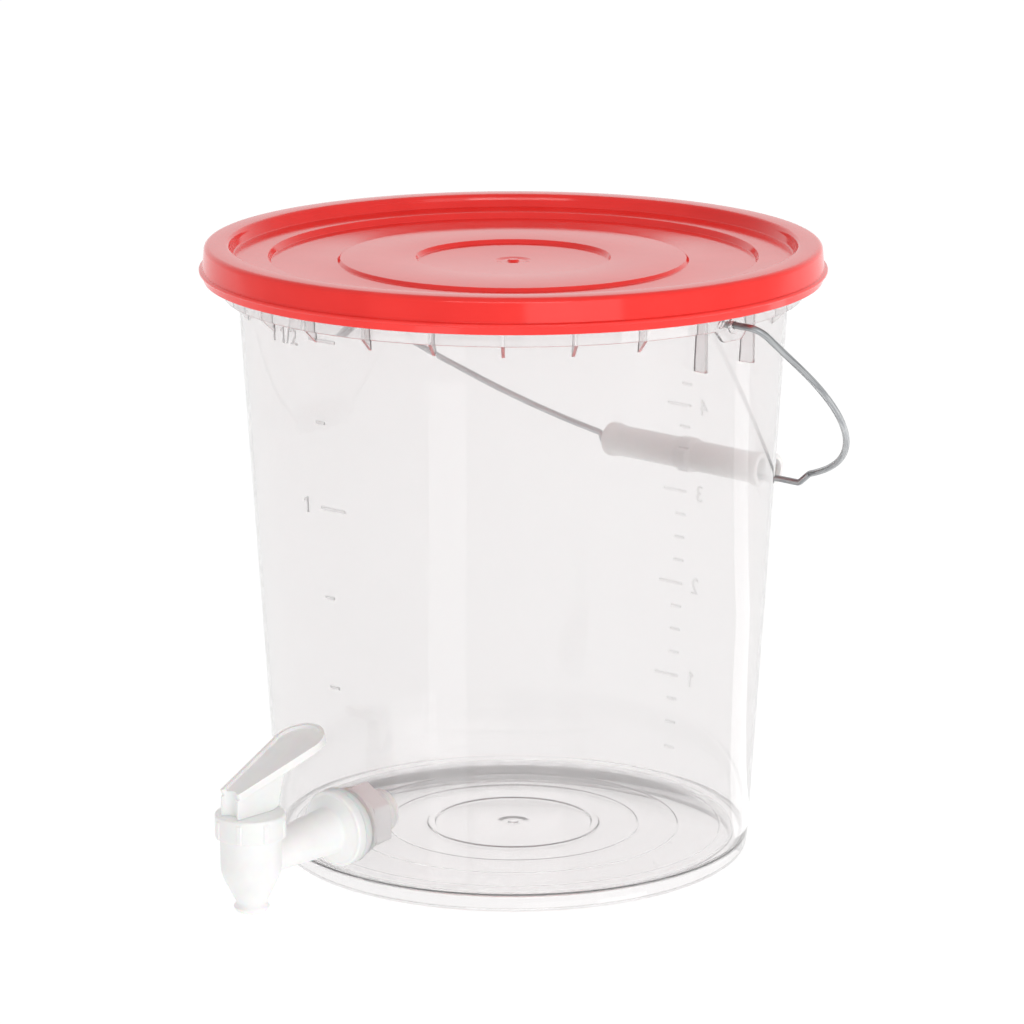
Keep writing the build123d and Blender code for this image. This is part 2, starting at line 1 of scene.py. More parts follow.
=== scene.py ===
import bmesh
import bpy
import numpy as np
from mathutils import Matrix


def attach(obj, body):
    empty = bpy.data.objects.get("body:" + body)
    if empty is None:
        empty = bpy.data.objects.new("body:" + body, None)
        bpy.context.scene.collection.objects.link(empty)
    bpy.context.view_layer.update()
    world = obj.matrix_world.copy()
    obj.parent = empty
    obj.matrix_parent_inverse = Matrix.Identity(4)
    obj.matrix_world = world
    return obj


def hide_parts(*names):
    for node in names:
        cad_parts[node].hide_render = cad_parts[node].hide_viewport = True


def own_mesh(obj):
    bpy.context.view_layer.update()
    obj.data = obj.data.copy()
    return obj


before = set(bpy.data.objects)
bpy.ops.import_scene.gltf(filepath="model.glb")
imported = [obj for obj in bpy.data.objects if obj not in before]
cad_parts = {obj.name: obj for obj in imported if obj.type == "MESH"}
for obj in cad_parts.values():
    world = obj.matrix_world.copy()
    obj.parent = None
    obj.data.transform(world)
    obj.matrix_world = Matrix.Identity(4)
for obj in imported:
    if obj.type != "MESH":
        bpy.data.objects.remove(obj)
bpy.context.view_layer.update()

# Bucket: one thin injection moulding in clear polypropylene, tapered so that buckets nest. Its floor
# stands on a foot ring, and a ledge and a collar with gussets stiffen the mouth. The ears that take
# the bail are lobes of the collar, and the litre and gallon scales are raised in the mould.
mm = 0.001
foot_radius = 89.3 * mm
mouth_radius = 102.8 * mm
ledge_height = 221.0 * mm
wall = 1.4 * mm
foot_inner_radius = 84.0 * mm
floor_under = 6.0 * mm
floor_top = 7.5 * mm
floor_ring_radius = 31.3 * mm
ledge_underside = 219.5 * mm
collar_radius = 108.0 * mm
collar_inner = 106.7 * mm
collar_bottom = 214.0 * mm
snap_radius = 111.8 * mm
snap_height = 226.2 * mm
snap_foot = 2.2 * mm
snap_half = 0.7 * mm
rim_top = 231.0 * mm
gusset_count = 26
gusset_tip = 209.1 * mm
plate_foot = 199.6 * mm
ear_height = 215.4 * mm
ear_drop = 4.4 * mm
ear_hole = 1.5 * mm
tap_height = 26.8 * mm
tap_hole = 8.3 * mm
taper = (mouth_radius - foot_radius) / ledge_height
wall_tilt = np.arctan(taper)


def wall_radius(height):
    """Outer radius of the wall's cone at a height: the foot's radius plus taper times height."""
    return foot_radius + taper * height


nearly_straight = 0.4999 * np.pi


def rounded(corners, steps=5):
    """Path through corners given as (point, bend radius). A corner with a radius becomes the arc that
    touches both its runs: its centre is the corner plus the bisector times radius / sin(half angle)."""
    points = np.array([point for point, _ in corners], float)
    path = [points[:1]]
    for before, corner, after, (_, radius) in zip(points, points[1:], points[2:], corners[1:]):
        back = (before - corner) / np.linalg.norm(before - corner)
        ahead = (after - corner) / np.linalg.norm(after - corner)
        half = np.arccos(np.clip(back @ ahead, -1, 1)) / 2
        if radius == 0 or half > nearly_straight:
            path.append(corner[None])
            continue
        inward = (back + ahead) / np.linalg.norm(back + ahead)
        across = (ahead - back) / np.linalg.norm(ahead - back)
        centre = corner + inward * radius / np.sin(half)
        sweep = np.linspace(half - np.pi / 2, np.pi / 2 - half, steps + 1)[:, None]
        path.append(centre + radius * (np.sin(sweep) * across - np.cos(sweep) * inward))
    path.append(points[-1:])
    return np.concatenate(path)


def turned(profile, angles):
    """Grid of a surface turned about Z: each profile point (radius, height) goes round the angles, so
    x = radius cos(angle), y = radius sin(angle) and z = height."""
    radius = profile[:, :1]
    height = profile[:, 1:]
    return np.stack([radius * np.cos(angles), radius * np.sin(angles), height + 0 * angles], axis=-1)


def shell(name, grids, loop=False):
    """Closed mesh over grids of (row, column, xyz). Columns join up round each row. In a loop the rows
    join up too, and otherwise each end row is closed with triangles to its middle point."""
    points = []
    faces = []
    count = 0
    for grid in grids:
        rows, columns = grid.shape[:2]
        index = count + np.arange(rows * columns).reshape(rows, columns)
        lower = index if loop else index[:-1]
        upper = np.roll(index, -1, axis=0) if loop else index[1:]
        quads = [lower, np.roll(lower, -1, axis=1), np.roll(upper, -1, axis=1), upper]
        faces += np.stack(quads, axis=-1).reshape(-1, 4).tolist()
        points.append(grid.reshape(-1, 3))
        count += rows * columns
        if not loop:
            points.append(np.stack([grid[0].mean(axis=0), grid[-1].mean(axis=0)]))
            start = [np.full(columns, count), np.roll(index[0], -1), index[0]]
            end = [np.full(columns, count + 1), index[-1], np.roll(index[-1], -1)]
            faces += np.stack(start, axis=-1).tolist() + np.stack(end, axis=-1).tolist()
            count += 2
    mesh = bpy.data.meshes.new(name)
    mesh.from_pydata(np.concatenate(points).tolist(), [], faces)
    solid = bmesh.new()
    solid.from_mesh(mesh)
    inside_out = solid.calc_volume(signed=True) < 0
    solid.free()
    if inside_out:
        mesh.flip_normals()
    piece = bpy.data.objects.new(name, mesh)
    bpy.context.collection.objects.link(piece)
    return piece


def combined(piece, tools, operation):
    """Joins the tools to a piece, or takes them away from it, and leaves the result in its mesh."""
    for tool in tools:
        change = piece.modifiers.new(tool.name, "BOOLEAN")
        change.operation = operation
        change.solver = "EXACT"
        change.material_mode = "TRANSFER"
        change.object = tool
    result = piece.evaluated_get(bpy.context.evaluated_depsgraph_get())
    whole = bpy.data.meshes.new_from_object(result)
    piece.modifiers.clear()
    piece.data = whole
    for tool in tools:
        bpy.data.objects.remove(tool)


def smooth(piece, edge_angle=35):
    """Shades a piece smooth, with edges sharper than an angle in degrees left crisp."""
    piece.data.shade_smooth()
    piece.data.set_sharp_from_angle(angle=np.radians(edge_angle))


def placed(grid, place):
    """Moves a grid by a 4 x 4 matrix: turned by its 3 x 3 part, then shifted by its last column."""
    return grid @ place[:3, :3].T + place[:3, 3]


def linear(colour):
    """sRGB hex as linear RGBA: c / 12.92 up to 0.04045, and ((c + 0.055) / 1.055) ^ 2.4 above it."""
    channels = np.array([int(colour[start:start + 2], 16) for start in (1, 3, 5)]) / 255
    curve = np.where(channels <= 0.04045, channels / 12.92, ((channels + 0.055) / 1.055) ** 2.4)
    return (*curve.tolist(), 1.0)


def feed(tree, node, inputs):
    """Gives sockets of a node their values, or links them to the output sockets that feed them."""
    for name, value in inputs.items():
        if isinstance(value, bpy.types.NodeSocket):
            tree.links.new(value, node.inputs[name])
        else:
            node.inputs[name].default_value = value


def add_node(tree, kind, settings=None, inputs=None):
    """Adds a shader node. Settings are its own properties, and inputs are fed to its sockets."""
    node = tree.nodes.new("ShaderNode" + kind)
    for name, value in (settings or {}).items():
        setattr(node, name, value)
    feed(tree, node, inputs or {})
    return node


def new_material(name):
    """New material with nodes, and its node tree."""
    material = bpy.data.materials.new(name)
    material.use_nodes = True
    return material, material.node_tree


# Clear polypropylene, moulded against polished steel: the eye gets a sharp gloss with slow waves of
# flow in it, and a slight warm grey where the light passes many layers.
clear, tree = new_material("clear_polypropylene_moulded")
place = add_node(tree, "TexCoord").outputs["Object"]
flow = add_node(tree, "TexNoise", inputs={"Vector": place, "Scale": 1 / (18 * mm), "Detail": 3.0})
haze = add_node(tree, "MapRange", inputs={
    "Value": flow.outputs["Fac"], "To Min": 0.01, "To Max": 0.03})
ripple = add_node(tree, "Bump", inputs={
    "Height": flow.outputs["Fac"], "Distance": 0.02 * mm, "Strength": 0.3})
feed(tree, tree.nodes["Principled BSDF"], {
    "Base Color": linear("#F8F7F7"),
    "Transmission Weight": 0.92,
    "IOR": 1.49,
    "Roughness": haze.outputs["Result"],
    "Normal": ripple.outputs["Normal"],
})

# The raised marks have a finely blasted face in the mould, so they are the same plastic, frosted.
frosted, tree = new_material("clear_polypropylene_frosted")
place = add_node(tree, "TexCoord").outputs["Object"]
blast = add_node(tree, "TexNoise", inputs={"Vector": place, "Scale": 1 / (0.6 * mm), "Detail": 2.0})
haze = add_node(tree, "MapRange", inputs={
    "Value": blast.outputs["Fac"], "To Min": 0.3, "To Max": 0.5})
feed(tree, tree.nodes["Principled BSDF"], {
    "Base Color": linear("#E8E6E6"),
    "Transmission Weight": 0.9,
    "IOR": 1.49,
    "Roughness": haze.outputs["Result"],
})

# The gussets and the ear plates are spark-eroded slots in the mould, so they have a slight haze that
# hides the reflections inside them.
etched, tree = new_material("clear_polypropylene_etched")
place = add_node(tree, "TexCoord").outputs["Object"]
spark = add_node(tree, "TexNoise", inputs={"Vector": place, "Scale": 1 / (0.8 * mm), "Detail": 2.0})
haze = add_node(tree, "MapRange", inputs={
    "Value": spark.outputs["Fac"], "To Min": 0.26, "To Max": 0.36})
feed(tree, tree.nodes["Principled BSDF"], {
    "Base Color": linear("#FDFBFB"),
    "Transmission Weight": 1.0,
    "IOR": 1.49,
    "Roughness": haze.outputs["Result"],
})

wall_rows = np.linspace(12 * mm, 206 * mm, 9)
outside = [((wall_radius(height), height), 0) for height in wall_rows]
inside = [((wall_radius(height) - wall, height), 0) for height in wall_rows[::-1]]
ring_half = 0.45 * mm
ring_rise = 0.12 * mm
floor_rings = []
for ring_radius in (79.0 * mm, 63.0 * mm, 47.8 * mm):
    floor_rings += [
        ((ring_radius + ring_half, floor_top), 0.1 * mm),
        ((ring_radius, floor_top + ring_rise), 0.3 * mm),
        ((ring_radius - ring_half, floor_top), 0.1 * mm)]
centre_ring_foot = 1.7 * mm
centre_ring_half = 1.2 * mm
centre_ring_top = floor_top + 0.4 * mm
gate_sunk = floor_top - 0.25 * mm
gate_stub = floor_top + 0.1 * mm
bucket_profile = [
    ((1 * mm, floor_under), 0),
    ((30 * mm, floor_under), 0),
    ((foot_inner_radius, floor_under), 0.8 * mm),
    ((foot_inner_radius, 0), 0.4 * mm),
    ((wall_radius(0), 0), 4 * mm),
    *outside,
    ((wall_radius(ledge_underside), ledge_underside), 0.4 * mm),
    ((collar_inner, ledge_underside), 0.4 * mm),
    ((collar_inner, collar_bottom), 0.25 * mm),
    ((collar_radius, collar_bottom), 0.35 * mm),
    ((collar_radius, ledge_underside), 0),
    ((collar_radius, snap_height - snap_foot), 0.3 * mm),
    ((snap_radius, snap_height - snap_half), 0.4 * mm),
    ((snap_radius, snap_height + snap_half), 0.4 * mm),
    ((collar_radius, snap_height + snap_foot), 0.3 * mm),
    ((collar_radius, rim_top), 0.5 * mm),
    ((collar_inner, rim_top), 0.4 * mm),
    ((collar_inner, ledge_height), 0.5 * mm),
    ((wall_radius(ledge_height) - wall, ledge_height), 0.7 * mm),
    *inside,
    ((wall_radius(floor_top) - wall, floor_top), 1.0 * mm),
    *floor_rings,
    ((floor_ring_radius + centre_ring_foot, floor_top), 0.4 * mm),
    ((floor_ring_radius + centre_ring_half, centre_ring_top), 0.4 * mm),
    ((floor_ring_radius - centre_ring_half, centre_ring_top), 0.4 * mm),
    ((floor_ring_radius - centre_ring_foot, floor_top), 0.4 * mm),
    ((6.5 * mm, floor_top), 2 * mm),
    ((4.5 * mm, gate_sunk), 2 * mm),
    ((2.2 * mm, gate_sunk), 0.4 * mm),
    ((1.6 * mm, gate_stub), 0.4 * mm),
    ((0.5 * mm, gate_stub), 0),
]
ear_span = np.radians(7)
fine = np.linspace(-ear_span, ear_span, 49)
coarse = np.linspace(ear_span, np.pi - ear_span, 168)[1:-1]
bucket_angles = np.concatenate([fine, coarse, fine + np.pi, coarse + np.pi])
bucket_grid = turned(rounded(bucket_profile), bucket_angles)

# The collar's lower edge comes down at each ear in a lobe: full depth near the middle, then a cosine
# slope back up to the edge.
lobe_flat = 4.2 * mm
lobe_reach = 9.8 * mm
slope = np.clip((np.abs(bucket_grid[..., 1]) - lobe_flat) / (lobe_reach - lobe_flat), 0, 1)
on_collar = np.hypot(bucket_grid[..., 0], bucket_grid[..., 1]) > collar_inner - 0.1 * mm
on_edge = on_collar & (bucket_grid[..., 2] < collar_bottom + 1 * mm)
bucket_grid[..., 2] -= on_edge * ear_drop * (1 + np.cos(np.pi * slope)) / 2
bucket = shell("clear_bucket", [bucket_grid])
bucket.data.materials.append(clear)


def upright_plate(outline, thickness, angle):
    """Grid of a flat plate that stands on the axis: its (radius, height) outline at both its faces,
    half the thickness to each side, turned to its angle."""
    across = np.array([-thickness / 2, thickness / 2])[:, None]
    radius = outline[:, 0] + 0 * across
    height = outline[:, 1] + 0 * across
    x = radius * np.cos(angle) - across * np.sin(angle)
    y = radius * np.sin(angle) + across * np.cos(angle)
    return np.stack([x, y, height], axis=-1)


gusset_root = wall_radius(collar_bottom) - wall / 2
gusset_thickness = 1.2 * mm
plate_thickness = 1.4 * mm
rib_reach = collar_radius - 0.65 * mm
rib_top = ledge_underside + 0.75 * mm
gusset_outline = np.array([
    (gusset_root, gusset_tip), (wall_radius(gusset_tip), gusset_tip), (rib_reach, collar_bottom),
    (rib_reach, rib_top), (gusset_root, rib_top)])
plate_outline = np.array([
    (wall_radius(plate_foot) - wall / 2, plate_foot), (rib_reach, plate_foot), (rib_reach, rib_top),
    (wall_radius(rib_top) - wall / 2, rib_top)])
rib_angles = (np.arange(gusset_count) + 0.5) * 2 * np.pi / gusset_count
beside_ear = np.abs(np.cos(rib_angles)) > np.cos(2 * np.pi / gusset_count)
ribs = [upright_plate(gusset_outline, gusset_thickness, angle) for angle in rib_angles[~beside_ear]]
plates = [upright_plate(plate_outline, plate_thickness, angle) for angle in rib_angles[beside_ear]]


def along_x(start, end, radius, round_edge, sides=48):
    """Grid of a round bar along X from start to end with rounded edges, at the ears' height."""
    profile = rounded([
        ((radius * 0.3, start), 0), ((radius, start), round_edge), ((radius, end), round_edge),
        ((radius * 0.3, end), 0)])
    grid = turned(profile, np.linspace(0, 2 * np.pi, sides, endpoint=False))
    return np.stack([grid[..., 2], grid[..., 0], grid[..., 1] + ear_height], axis=-1)


boss_start = collar_inner
boss_end = collar_radius + 0.6 * mm
boss_radius = 3.1 * mm
boss_round = 0.25 * mm
bosses = [along_x(side * boss_start, side * boss_end, boss_radius, boss_round) for side in (-1, 1)]
rib_tool = shell("gussets", ribs)
plate_tool = shell("ear_plates", plates)
boss_tool = shell("ear_bosses", bosses)
rib_tool.data.materials.append(etched)
plate_tool.data.materials.append(etched)
boss_tool.data.materials.append(clear)

# Scales: litres up the back and gallons up the front, above the tap. Each mark is a low bar on the
# wall, and the heights are where a tapered bucket of this size holds that much.
mark_rise = 0.3 * mm
mark_root = 0.5 * mm
mark_thickness = 1.1 * mm
litre_long = (-2.8 * mm, 9.0 * mm)
litre_short = (-2.8 * mm, 2.3 * mm)
litres_read = [0.25, 0.5, 1, 2, 3, 4, 4.25]
levels_read = np.array([17.8, 28.0, 47.1, 84.2, 121.0, 155.1, 163.4]) * mm
litre_heights = np.interp(np.arange(1, 18) / 4, litres_read, levels_read)
gallon_heights = np.array([79.7, 113.9, 147.6, 179.5, 210.0]) * mm
gallon_short = (-2.2 * mm, 2.2 * mm)
gallon_spans = [gallon_short, gallon_short, (-2.0 * mm, 9.8 * mm), gallon_short, (-3.6 * mm, 9.2 * mm)]


def wall_bar(middle_angle, span, height):
    """Grid of a bar on the wall: a rounded ridge profile carried round the wall from one end of its
    span to the other, its root inside the wall."""
    angles = middle_angle + np.linspace(*span, 7)[:, None] / wall_radius(height)
    lift = np.array([-mark_root, 0.6 * mark_rise, mark_rise, mark_rise, 0.6 * mark_rise, -mark_root])
    level = height + mark_thickness / 2 * np.array([-1.0, -1.0, -0.6, 0.6, 1.0, 1.0])
    radius = wall_radius(level) + lift
    x = radius * np.cos(angles)
    y = radius * np.sin(angles)
    return np.stack([x, y, level + 0 * angles], axis=-1)


back = np.pi / 2
front = -np.pi / 2
bars = []
for number, height in enumerate(litre_heights):
    bars.append(wall_bar(back, litre_long if (number + 1) % 4 == 0 else litre_short, height))
for span, height in zip(gallon_spans, gallon_heights):
    bars.append(wall_bar(front, span, height))
bar_tool = shell("scale_marks", bars)
bar_tool.data.materials.append(frosted)

numeral_half = 0.4 * mm
litre_size = 9.3 * mm
gallon_size = 8.6 * mm
beside_litres = -10.2 * mm
beside_gallon = -9.6 * mm
beside_half = [-25.0 * mm, -18.8 * mm, -13.4 * mm]
half_level = gallon_heights[4] - 1 * mm


def flat_text(words, size):
    """Flat outline of some figures, centred, with the size of its lines."""
    figure = bpy.data.curves.new("numeral_" + words.replace("/", "over_"), "FONT")
    figure.body = words
    figure.size = size
    figure.align_x = "CENTER"
    figure.align_y = "CENTER"
    return figure


def flat_one(size):
    """Flat outline of a figure one with a flag at its head, drawn for lines of a size."""
    figure = bpy.data.curves.new("numeral_1", "CURVE")
    figure.dimensions = "2D"
    figure.fill_mode = "BOTH"
    corners = size * np.array([
        (-0.03, -0.34), (0.06, -0.34), (0.06, 0.34), (-0.01, 0.34),
        (-0.18, 0.23), (-0.18, 0.13), (-0.03, 0.22)])
    outline = figure.splines.new("POLY")
    outline.points.add(len(corners) - 1)
    outline.points.foreach_set("co", np.pad(corners, ((0, 0), (0, 2))).ravel())
    outline.use_cyclic_u = True
    return figure


def wall_numeral(figure, middle_angle, across, height):
    """Raised figure on the wall: a flat outline's x goes round the wall, its y up it and its depth out
    from it."""
    figure.extrude = numeral_half
    flat = bpy.data.objects.new(figure.name, figure)
    bpy.context.collection.objects.link(flat)
    mesh = bpy.data.meshes.new_from_object(flat.evaluated_get(bpy.context.evaluated_depsgraph_get()))
    bpy.data.objects.remove(flat)
    points = np.empty(len(mesh.vertices) * 3)
    mesh.vertices.foreach_get("co", points)
    points = points.reshape(-1, 3)
    level = height + points[:, 1]
    angles = middle_angle + (across + points[:, 0]) / wall_radius(level)
    radius = wall_radius(level) + points[:, 2] - numeral_half + mark_rise
    points = np.stack([radius * np.cos(angles), radius * np.sin(angles), level], axis=-1)
    mesh.vertices.foreach_set("co", points.ravel())
    solid = bmesh.new()
    solid.from_mesh(mesh)
    bmesh.ops.remove_doubles(solid, verts=solid.verts, dist=0.005 * mm)
    bmesh.ops.recalc_face_normals(solid, faces=solid.faces)
    solid.to_mesh(mesh)
    solid.free()
    mesh.materials.clear()
    mesh.materials.append(frosted)
    numeral = bpy.data.objects.new(figure.name, mesh)
    bpy.context.collection.objects.link(numeral)
    return numeral


numerals = [
    wall_numeral(flat_one(litre_size), back, beside_litres, litre_heights[3]),
    wall_numeral(flat_text("2", litre_size), back, beside_litres, litre_heights[7]),
    wall_numeral(flat_text("3", litre_size), back, beside_litres, litre_heights[11]),
    wall_numeral(flat_text("4", litre_size), back, beside_litres, litre_heights[15]),
    wall_numeral(flat_one(gallon_size), front, beside_gallon, gallon_heights[2]),
    wall_numeral(flat_one(gallon_size), front, beside_half[0], half_level),
    wall_numeral(flat_one(gallon_size), front, beside_half[1], half_level),
    wall_numeral(flat_text("/2", gallon_size), front, beside_half[2], half_level),
]
combined(bucket, [rib_tool, plate_tool, boss_tool, bar_tool, *numerals], "UNION")

tap_turn = np.array([
    [1, 0, 0],
    [0, np.cos(wall_tilt), -np.sin(wall_tilt)],
    [0, np.sin(wall_tilt), np.cos(wall_tilt)]])
tap_place = np.eye(4)
tap_place[:3, :3] = tap_turn
tap_place[:3, 3] = (0, -wall_radius(tap_height), tap_height)
outward = np.eye(4)
outward[:3, :3] = [[1, 0, 0], [0, 0, -1], [0, 1, 0]]
shank_place = tap_place @ outward
around = np.linspace(0, 2 * np.pi, 96, endpoint=False)
drill_half = 6 * mm
drill_profile = np.array([(tap_hole, -drill_half), (tap_hole, drill_half)])
tap_drill = shell("tap_drill", [placed(turned(drill_profile, around), shank_place)])
drill_from = 100 * mm
drill_to = 115 * mm
drills = [along_x(side * drill_from, side * drill_to, ear_hole, 0) for side in (-1, 1)]
ear_drill = shell("ear_drill", drills)
combined(bucket, [tap_drill, ear_drill], "DIFFERENCE")
smooth(bucket)
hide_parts("bucket_body")
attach(bucket, "bucket")

# Lid: one red polypropylene moulding that presses over the rim. Its top steps down in rings, its crown
# runs round the rim and its skirt ends in a bead and a lip. The runner left a gate mark in the middle.
lid_top = 232.7 * mm
lid_bottom = 219.7 * mm
lid_wall = 1.3 * mm
skirt_radius = 114.6 * mm
skirt_flare = 0.8 * mm
bead_radius = 116.7 * mm
bead_low = 222.4 * mm
bead_high = 224.0 * mm
plug_outer = 106.3 * mm
plug_inner = 105.0 * mm
crown_under = 231.1 * mm
crown_inner = 105.55 * mm
plug_bottom = crown_under - 6.5 * mm
hook_radius = 112.2 * mm
hook_drop = 0.8 * mm
outer_panel = lid_top - 4.7 * mm
panel_steps = [
    (90.5 * mm, 4.7 * mm, 7.0 * mm),
    (64.8 * mm, 7.0 * mm, 5.8 * mm),
    (35.8 * mm, 5.8 * mm, 7.2 * mm),
]
half_step = 0.5 * mm
panel_round = 0.4 * mm
upper = [
    ((crown_inner - 0.55 * mm, lid_top - 2.2 * mm), 6 * mm),
    ((crown_inner - 1.5 * mm, outer_panel), 0.8 * mm)]
lower = [((plug_inner, outer_panel - lid_wall), 0)]
for radius, outer_drop, inner_drop in panel_steps:
    upper.append(((radius + half_step, lid_top - outer_drop), panel_round))
    upper.append(((radius - half_step, lid_top - inner_drop), panel_round))
    lower.append(((radius + half_step, lid_top - outer_drop - lid_wall), 0))
    lower.append(((radius - half_step, lid_top - inner_drop - lid_wall), 0))
centre_panel = lid_top - 7.2 * mm
lid_gate_sunk = centre_panel - 0.4 * mm
lid_gate_stub = centre_panel + 0.3 * mm
lid_profile = [
    ((1 * mm, centre_panel - lid_wall), 0),
    *lower[::-1],
    ((plug_inner, plug_bottom), 0.3 * mm),
    ((plug_outer, plug_bottom), 0.4 * mm),
    ((plug_outer, crown_under), 0),
    ((skirt_radius - lid_wall, crown_under), 0),
    ((skirt_radius - lid_wall + skirt_flare, bead_high), 0),
    ((hook_radius, bead_high - hook_drop), 0),
    ((hook_radius, bead_low - hook_drop), 0),
    ((skirt_radius - lid_wall + skirt_flare / 2, lid_bottom), 0.2 * mm),
    ((skirt_radius + skirt_flare / 2, lid_bottom), 0.35 * mm),
    ((skirt_radius + skirt_flare, bead_low), 0.3 * mm),
    ((bead_radius, bead_low + 0.25 * mm), 0.5 * mm),
    ((bead_radius, bead_high - 0.25 * mm), 0.5 * mm),
    ((skirt_radius + skirt_flare, bead_high), 0.3 * mm),
    ((skirt_radius, lid_top), 2.0 * mm),
    ((crown_inner, lid_top), 1.4 * mm),
    *upper,
    ((6.7 * mm, centre_panel), 0.8 * mm),
    ((4.6 * mm, lid_gate_sunk), 0.8 * mm),
    ((2.4 * mm, lid_gate_sunk), 0.4 * mm),
    ((1.8 * mm, lid_gate_stub), 0.4 * mm),
    ((0.6 * mm, lid_gate_stub), 0),
]
lid_angles = np.linspace(0, 2 * np.pi, 360, endpoint=False)
lid = shell("red_lid", [turned(rounded(lid_profile), lid_angles)])
smooth(lid)

# Red polypropylene, moulded glossy: a saturated body under a clear reflection that follows faint flow
# waves, with hair scratches from handling on the flat rings.
red, tree = new_material("red_polypropylene_moulded")
place = add_node(tree, "TexCoord").outputs["Object"]
flow = add_node(tree, "TexNoise", inputs={"Vector": place, "Scale": 1 / (25 * mm), "Detail": 3.0})
handling = add_node(tree, "TexNoise", inputs={
    "Vector": place, "Scale": 1 / (4 * mm), "Detail": 6.0, "Roughness": 0.7})
dull = add_node(tree, "MapRange", inputs={
    "Value": handling.outputs["Fac"], "To Min": 0.08, "To Max": 0.16})
ripple = add_node(tree, "Bump", inputs={
    "Height": flow.outputs["Fac"], "Distance": 0.05 * mm, "Strength": 0.4})
hue = add_node(tree, "ValToRGB", inputs={"Fac": flow.outputs["Fac"]})
hue.color_ramp.elements[0].position = 0.3
hue.color_ramp.elements[0].color = linear("#F22A24")
hue.color_ramp.elements[1].position = 0.7
hue.color_ramp.elements[1].color = linear("#FA322C")
feed(tree, tree.nodes["Principled BSDF"], {
    "IOR": 1.5,
    "Subsurface Weight": 0.1,
    "Subsurface Scale": 2 * mm,
    "Base Color": hue.outputs["Color"],
    "Roughness": dull.outputs["Result"],
    "Normal": ripple.outputs["Normal"],
})
lid.data.materials.append(red)
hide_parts("lid")
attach(lid, "lid")

# Bail: one length of galvanised steel wire, drawn, then bent cold. Its ends are hooked in through the
# ears, its legs run to broad bends, and a jog beside each end of the grip keeps the grip in place.
wire_radius = 1.25 * mm
bail_angle = np.radians(52.663)
bail_half_width = 120.0 * mm
bail_reach = 132.6 * mm
bail_shoulder = 96.0 * mm
bail_end = 104.2 * mm
jog_depth = 4.1 * mm
jog_run = 3.5 * mm
jog_bend = 2.2 * mm
grip_run = (-47.0 * mm, 54.0 * mm)
ear_bend = 5 * mm
arch_share = 0.94
bail_place = np.eye(4)
bail_place[:3, :3] = [
    [1, 0, 0],
    [0, np.sin(bail_angle), np.cos(bail_angle)],
    [0, -np.cos(bail_angle), np.sin(bail_angle)]]
bail_place[:3, 3] = (0, 0, ear_height)
foot_reach = bail_reach - 0.8 * mm
bail_route = np.array([
    (bail_end, 0, 0),
    (bail_half_width, 0, 0),
    (bail_half_width, bail_shoulder, 0),
    (grip_run[1] + jog_run, foot_reach, 0),
    (grip_run[1], bail_reach, -jog_depth),
    (grip_run[0], bail_reach, -jog_depth),
    (grip_run[0] - jog_run, foot_reach, 0),
    (-bail_half_width, bail_shoulder, 0),
    (-bail_half_width, 0, 0),
    (-bail_end, 0, 0)])


def largest_bend(before, corner, after):
    """Radius of the bend at a corner that takes up a share of its shorter run: share times run divided
    by the tangent of half the turn."""
    into = corner - before
    out = after - corner
    run = min(np.linalg.norm(into), np.linalg.norm(out))
    turn = np.arccos(into @ out / (np.linalg.norm(into) * np.linalg.norm(out)))
    return arch_share * run / np.tan(turn / 2)


right_arch = largest_bend(*bail_route[1:4])
left_arch = largest_bend(*bail_route[6:9])
bail_bends = [0, ear_bend, right_arch, jog_bend, jog_bend, jog_bend, jog_bend, left_arch, ear_bend, 0]
bail_path = rounded(list(zip(bail_route, bail_bends)), steps=24)


def wire_tube(path, up, radius, sides):
    """Grid of a round wire along a path: at each point a circle square to the path's direction, from
    the up vector and the cross product of both, and a smaller circle at each end for a blunt tip."""
    direction = np.gradient(path, axis=0)
    direction /= np.linalg.norm(direction, axis=1, keepdims=True)
    side = np.cross(direction, up)
    side /= np.linalg.norm(side, axis=1, keepdims=True)
    over = np.cross(side, direction)
    tip = 0.25 * radius * direction
    path = np.concatenate([path[:1] - tip[:1], path, path[-1:] + tip[-1:]])
    side = np.concatenate([side[:1], side, side[-1:]])
    over = np.concatenate([over[:1], over, over[-1:]])
    size = np.full((len(path), 1, 1), radius)
    size[[0, -1]] = 0.7 * radius
    angles = np.linspace(0, 2 * np.pi, sides, endpoint=False)[:, None]
    circle = np.cos(angles) * side[:, None] + np.sin(angles) * over[:, None]
    return path[:, None] + size * circle


wire_sides = 24
upward = np.array([0.0, 0.0, 1.0])
bail_grid = wire_tube(bail_path, upward, wire_radius, wire_sides)
bail = shell("bail_wire_galvanised", [placed(bail_grid, bail_place)])
wire_middle = bail_grid.mean(axis=1)
run_length = np.cumsum(np.linalg.norm(np.diff(wire_middle, axis=0, prepend=wire_middle[:1]), axis=1))
turn_angle = np.linspace(0, 2 * np.pi, wire_sides, endpoint=False)
drawn = np.stack([
    run_length[:, None] + 0 * turn_angle,
    wire_radius * np.cos(turn_angle) + 0 * run_length[:, None],
    wire_radius * np.sin(turn_angle) + 0 * run_length[:, None]], axis=-1).reshape(-1, 3)
tips = np.array([[0, 0, 0], [run_length[-1], 0, 0]])
lengthwise = bail.data.attributes.new("along_wire", "FLOAT_VECTOR", "POINT")
lengthwise.data.foreach_set("vector", np.concatenate([drawn, tips]).ravel())
smooth(bail, 50)

